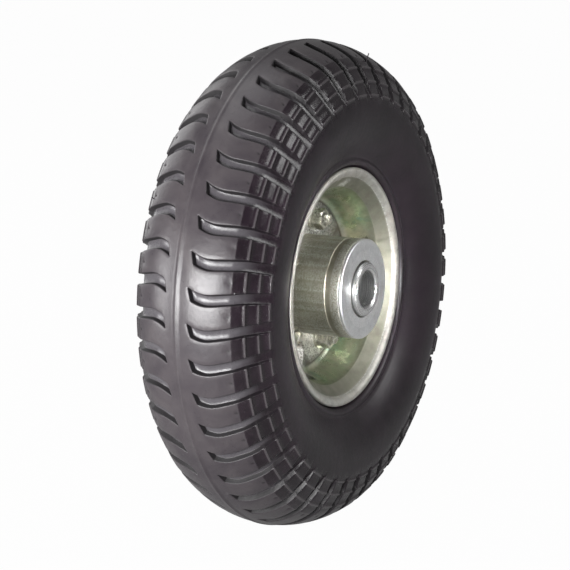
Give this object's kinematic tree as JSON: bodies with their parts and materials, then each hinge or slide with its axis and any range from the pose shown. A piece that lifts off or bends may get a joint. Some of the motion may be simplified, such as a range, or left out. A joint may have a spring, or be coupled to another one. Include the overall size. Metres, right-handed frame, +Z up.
{
  "type": "sack truck wheel",
  "caption": "Pneumatic block-tread wheel on a split pressed steel rim, with a tubular hub that turns on ball bearings round a plain axle.",
  "frame": {"origin": "centre of the wheel on the axle's line, in the joint between the rim halves", "axes": "+Y along the axle towards the rear side with the valve, +Z up; the nuts are on the front, -Y side"},
  "size_m": [0.26, 0.078, 0.26],
  "materials": {
    "tyre_rubber": "moulded, slightly glossy",
    "tube_rubber": "smooth",
    "zinc_sheet": "zinc plated, faint yellow-green passivation",
    "zinc_hub": "zinc plated over a turned tube",
    "weld_steel": "zinc plated weld",
    "bearing_steel": "satin",
    "ring_steel": "ground bright",
    "bolt_zinc": "bright zinc",
    "valve_brass": "nickel washed",
    "cap_plastic": "moulded"
  },
  "bodies": {
    "axle_sleeve": {"inner_ring_front": "ring_steel", "inner_ring_rear": "ring_steel", "bearing_spacer": "bearing_steel"},
    "wheel": {"tyre": "tyre_rubber", "inner_tube": "tube_rubber", "valve_base": "tube_rubber", "valve_stem": "valve_brass", "valve_core": "valve_brass", "valve_cap": "cap_plastic", "rim_front": "zinc_sheet", "rim_rear": "zinc_sheet", "hub_tube": "zinc_hub", "hub_weld": "weld_steel", "outer_ring_front": "bearing_steel", "outer_shield_front": "bearing_steel", "inner_shield_front": "bearing_steel", "outer_ring_rear": "bearing_steel", "outer_shield_rear": "bearing_steel", "inner_shield_rear": "bearing_steel", "bolt_1": "bolt_zinc", "flat_washer_1": "bolt_zinc", "spring_washer_1": "bolt_zinc", "nut_1": "bolt_zinc", "bolt_2": "bolt_zinc", "flat_washer_2": "bolt_zinc", "spring_washer_2": "bolt_zinc", "nut_2": "bolt_zinc", "bolt_3": "bolt_zinc", "flat_washer_3": "bolt_zinc", "spring_washer_3": "bolt_zinc", "nut_3": "bolt_zinc", "bolt_4": "bolt_zinc", "flat_washer_4": "bolt_zinc", "spring_washer_4": "bolt_zinc", "nut_4": "bolt_zinc", "bolt_5": "bolt_zinc", "flat_washer_5": "bolt_zinc", "spring_washer_5": "bolt_zinc", "nut_5": "bolt_zinc"},
    "front_ball_set": {"balls_front": "ring_steel", "cage_front": "bearing_steel"},
    "rear_ball_set": {"balls_rear": "ring_steel", "cage_rear": "bearing_steel"}
  },
  "joints": [
    {"name": "wheel_spin", "type": "hinge", "parent": "axle_sleeve", "child": "wheel", "pos_m": [0, 0, 0], "axis": [0, 1, 0], "continuous": true},
    {"name": "front_ball_travel", "type": "hinge", "parent": "axle_sleeve", "child": "front_ball_set", "pos_m": [0, -0.0304, 0], "axis": [0, 1, 0], "continuous": true},
    {"name": "rear_ball_travel", "type": "hinge", "parent": "axle_sleeve", "child": "rear_ball_set", "pos_m": [0, 0.0304, 0], "axis": [0, 1, 0], "continuous": true}
  ],
  "couplings": [
    {"joint": "front_ball_travel", "follows": "wheel_spin", "ratio": 0.61674},
    {"joint": "rear_ball_travel", "follows": "wheel_spin", "ratio": 0.61674}
  ]
}
